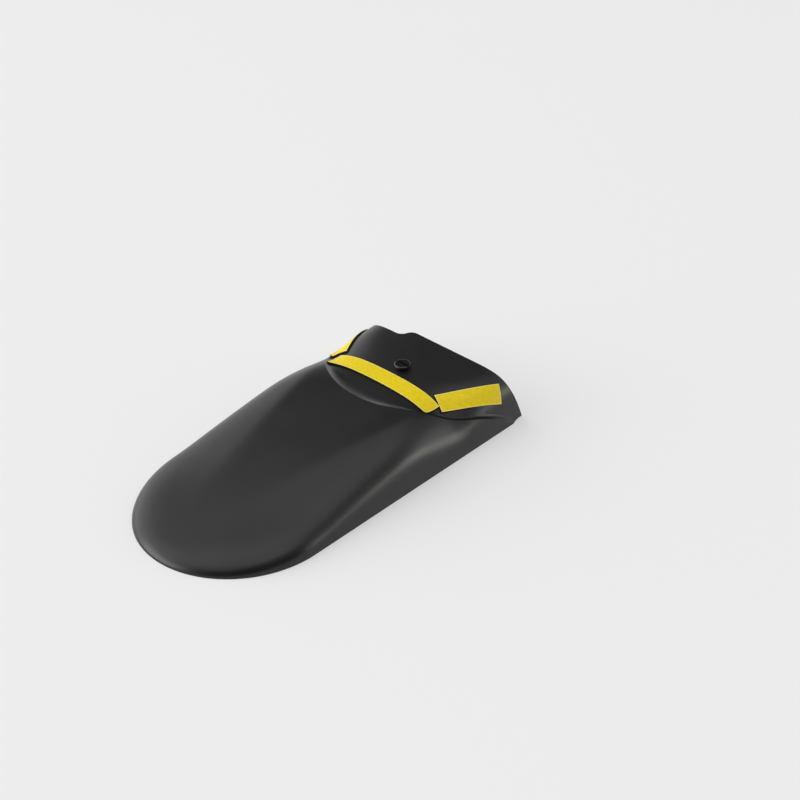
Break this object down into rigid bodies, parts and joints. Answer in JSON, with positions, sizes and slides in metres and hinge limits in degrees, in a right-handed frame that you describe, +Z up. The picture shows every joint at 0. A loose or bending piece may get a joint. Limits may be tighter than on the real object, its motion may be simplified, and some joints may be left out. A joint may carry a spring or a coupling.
{
  "type": "rear mudguard extender",
  "caption": "Moulded black round-nosed tongue that lengthens a rear mudguard, with a sunk mounting pad carrying foam tape under yellow liners and a slotted fixing screw.",
  "frame": {"origin": "centre of the bounding box, on the plane of the rim that it lies on", "axes": "X across to the right, Y from the rounded tip towards the mounting pad, Z up through the crown"},
  "size_m": [0.1346, 0.2748, 0.0386],
  "materials": {
    "shell_plastic": "fine moulded grain, satin",
    "screw_plastic": "smooth, glossy",
    "foam": "matt closed-cell foam",
    "liner": "yellow coated release paper, satin"
  },
  "bodies": {
    "root": {"extender_shell": "shell_plastic", "fixing_screw": "screw_plastic", "fixing_nut": "screw_plastic", "left_foam_tape": "foam", "centre_foam_tape": "foam", "right_foam_tape": "foam", "left_release_liner": "liner", "centre_release_liner": "liner", "right_release_liner": "liner"}
  },
  "joints": []
}
